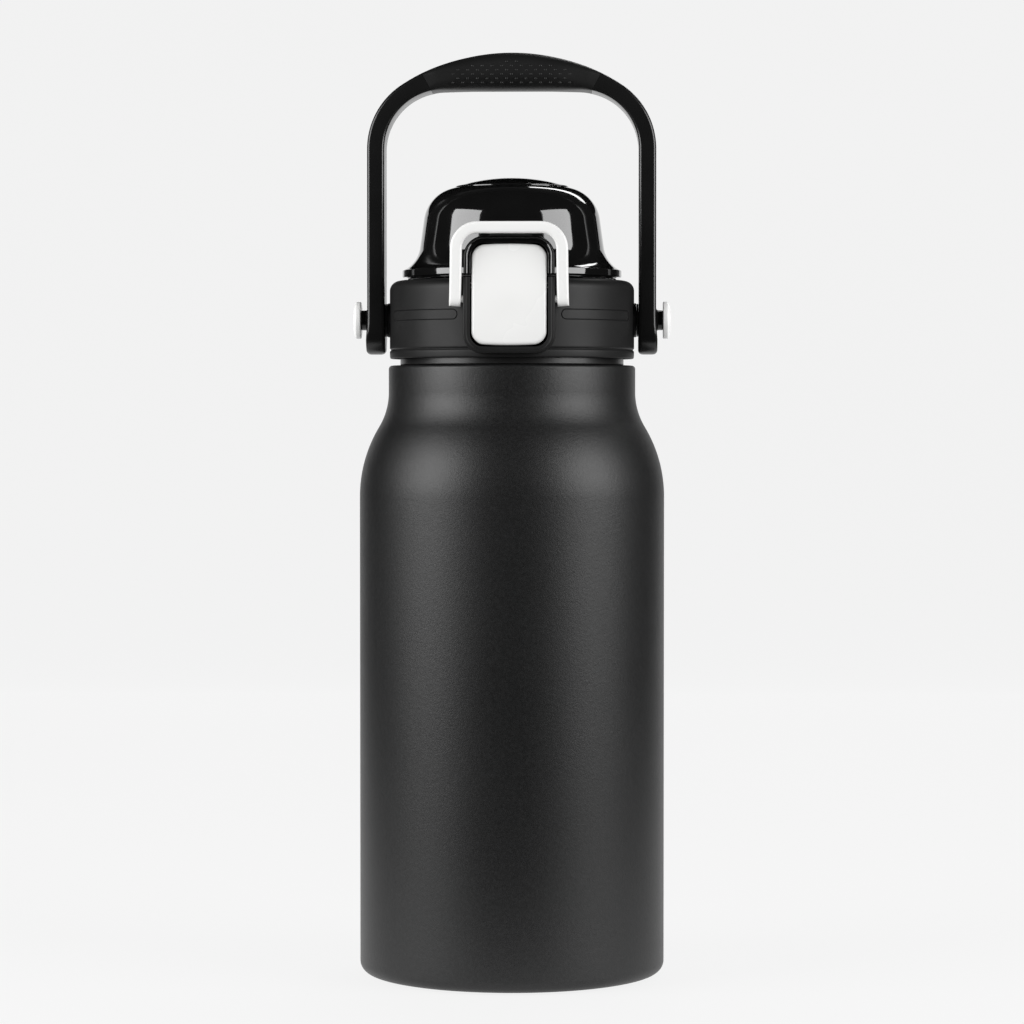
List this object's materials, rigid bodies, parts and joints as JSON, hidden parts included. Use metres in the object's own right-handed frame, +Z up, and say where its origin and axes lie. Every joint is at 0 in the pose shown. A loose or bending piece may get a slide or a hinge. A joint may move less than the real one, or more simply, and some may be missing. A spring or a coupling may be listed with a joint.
{
  "type": "insulated water jug",
  "caption": "Large double-walled steel water jug: screw lid with sprung flip cover over a drinking spout, rocking release button, swinging lock ring and bail carry handle",
  "frame": {"origin": "middle of the foot pad's underside, on the table", "axes": "+Z up along the flask, the release button faces -Y, +X to the user's right when facing the button"},
  "size_m": [0.1084, 0.104, 0.3143],
  "materials": {
    "powder_black": "matte textured powder coat on steel",
    "bare_steel": "satin stainless",
    "getter_metal": "dull sintered metal",
    "solder_bead": "dull sealing bead",
    "foot_silicone": "matte silicone",
    "gasket_silicone": "translucent food silicone",
    "core_black": "satin moulded",
    "collar_black": "fine matte moulded",
    "spout_black": "satin moulded",
    "pin_steel": "ground pin",
    "spring_steel": "drawn wire",
    "washer_nylon": "plain nylon",
    "dome_gloss": "gloss moulded",
    "crown_gloss": "gloss moulded",
    "liner_black": "satin moulded",
    "stopper_silicone": "food silicone",
    "button_white": "satin gloss moulded",
    "ring_white": "satin gloss moulded",
    "bail_black": "satin gloss moulded",
    "grip_soft": "matte soft-touch with fine dots",
    "cap_white": "gloss moulded"
  },
  "bodies": {
    "flask": {"outer_shell": "powder_black", "mouth_tube": "powder_black", "inner_flask": "bare_steel", "mouth_liner": "bare_steel", "base_plate": "bare_steel", "vacuum_seal": "solder_bead", "getter_disc": "getter_metal", "foot_pad": "foot_silicone"},
    "gasket": {"mouth_gasket": "gasket_silicone"},
    "lid": {"thread_ring": "core_black", "lid_core": "core_black", "collar_shell": "collar_black", "drinking_spout": "spout_black", "hinge_pin": "pin_steel", "hinge_spring": "spring_steel", "button_pin": "pin_steel", "button_spring": "spring_steel", "pivot_pin_left": "pin_steel", "pivot_pin_right": "pin_steel", "pivot_washer_left": "washer_nylon", "pivot_washer_right": "washer_nylon"},
    "cover": {"dome_cover": "dome_gloss", "cover_hood": "dome_gloss", "crown_insert": "crown_gloss", "dome_liner": "liner_black", "spout_stopper": "stopper_silicone"},
    "button": {"release_button": "button_white"},
    "ring": {"lock_ring": "ring_white"},
    "handle": {"handle_bail": "bail_black", "grip_pad": "grip_soft", "pivot_cap_left": "cap_white", "pivot_cap_right": "cap_white"}
  },
  "joints": [
    {"name": "lid_lift", "type": "slide", "parent": "flask", "child": "gasket", "axis": [0, 0, 1], "range_m": [0, 0.02]},
    {"name": "lid_turn", "type": "hinge", "parent": "gasket", "child": "lid", "pos_m": [0, 0, 0.2], "axis": [0, 0, 1], "range_deg": [0, 902]},
    {"name": "cover_hinge", "type": "hinge", "parent": "lid", "child": "cover", "pos_m": [0, 0.0452, 0.22], "axis": [-1, 0, 0], "range_deg": [0, 115], "deforming": ["hinge_spring"]},
    {"name": "button_rock", "type": "hinge", "parent": "lid", "child": "button", "pos_m": [0, -0.0403, 0.234], "axis": [1, 0, 0], "range_deg": [0, 9], "stiffness_Nm_per_rad": 0.05, "deforming": ["button_spring"]},
    {"name": "ring_swing", "type": "hinge", "parent": "lid", "child": "ring", "pos_m": [0, -0.0416, 0.2295], "axis": [1, 0, 0], "range_deg": [0, 165]},
    {"name": "handle_swing", "type": "hinge", "parent": "lid", "child": "handle", "pos_m": [0, 0, 0.2235], "axis": [1, 0, 0], "range_deg": [-130, 130]}
  ],
  "couplings": [
    {"joint": "lid_turn", "follows": "lid_lift", "rad_per_m": 785.4}
  ]
}
